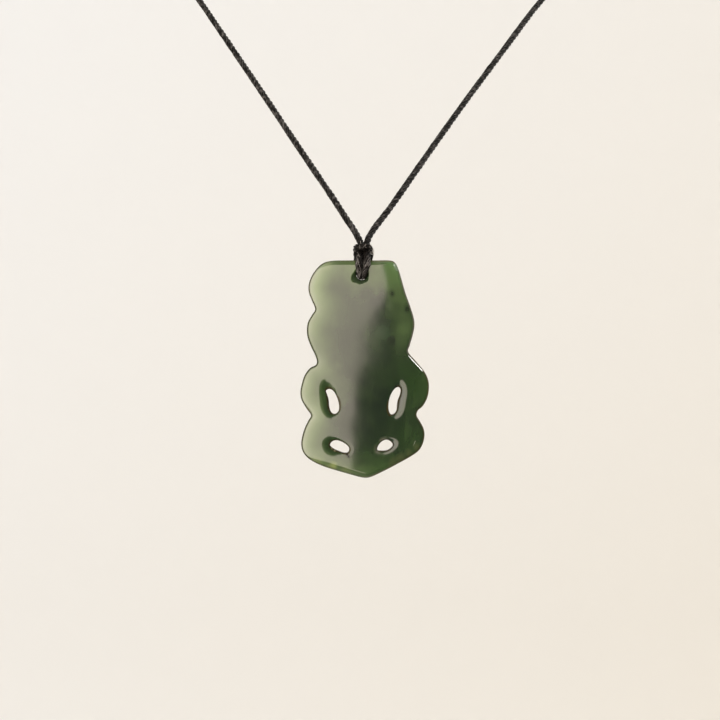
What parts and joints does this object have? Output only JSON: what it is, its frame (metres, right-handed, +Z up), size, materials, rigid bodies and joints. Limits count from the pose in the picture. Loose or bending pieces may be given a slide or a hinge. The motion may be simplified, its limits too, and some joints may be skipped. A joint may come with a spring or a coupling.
{
  "type": "hei tiki pendant on a cord",
  "caption": "Flat carved greenstone figure with pierced arms and legs, tied by a cow hitch to a twisted dark neck cord closed with sliding knots at the nape.",
  "frame": {"origin": "middle of the cord where it rests on the nape of the neck", "axes": "+Z up, -Y the way the front of the stone looks, +X to the right seen from the front"},
  "size_m": [0.1058, 0.1559, 0.1723],
  "materials": {
    "greenstone": "polished",
    "waxed_cord": "waxed"
  },
  "bodies": {
    "root": {"tiki_body": "greenstone", "cord_hitch": "waxed_cord", "neck_cord": "waxed_cord", "nape_tie": "waxed_cord"}
  },
  "joints": []
}
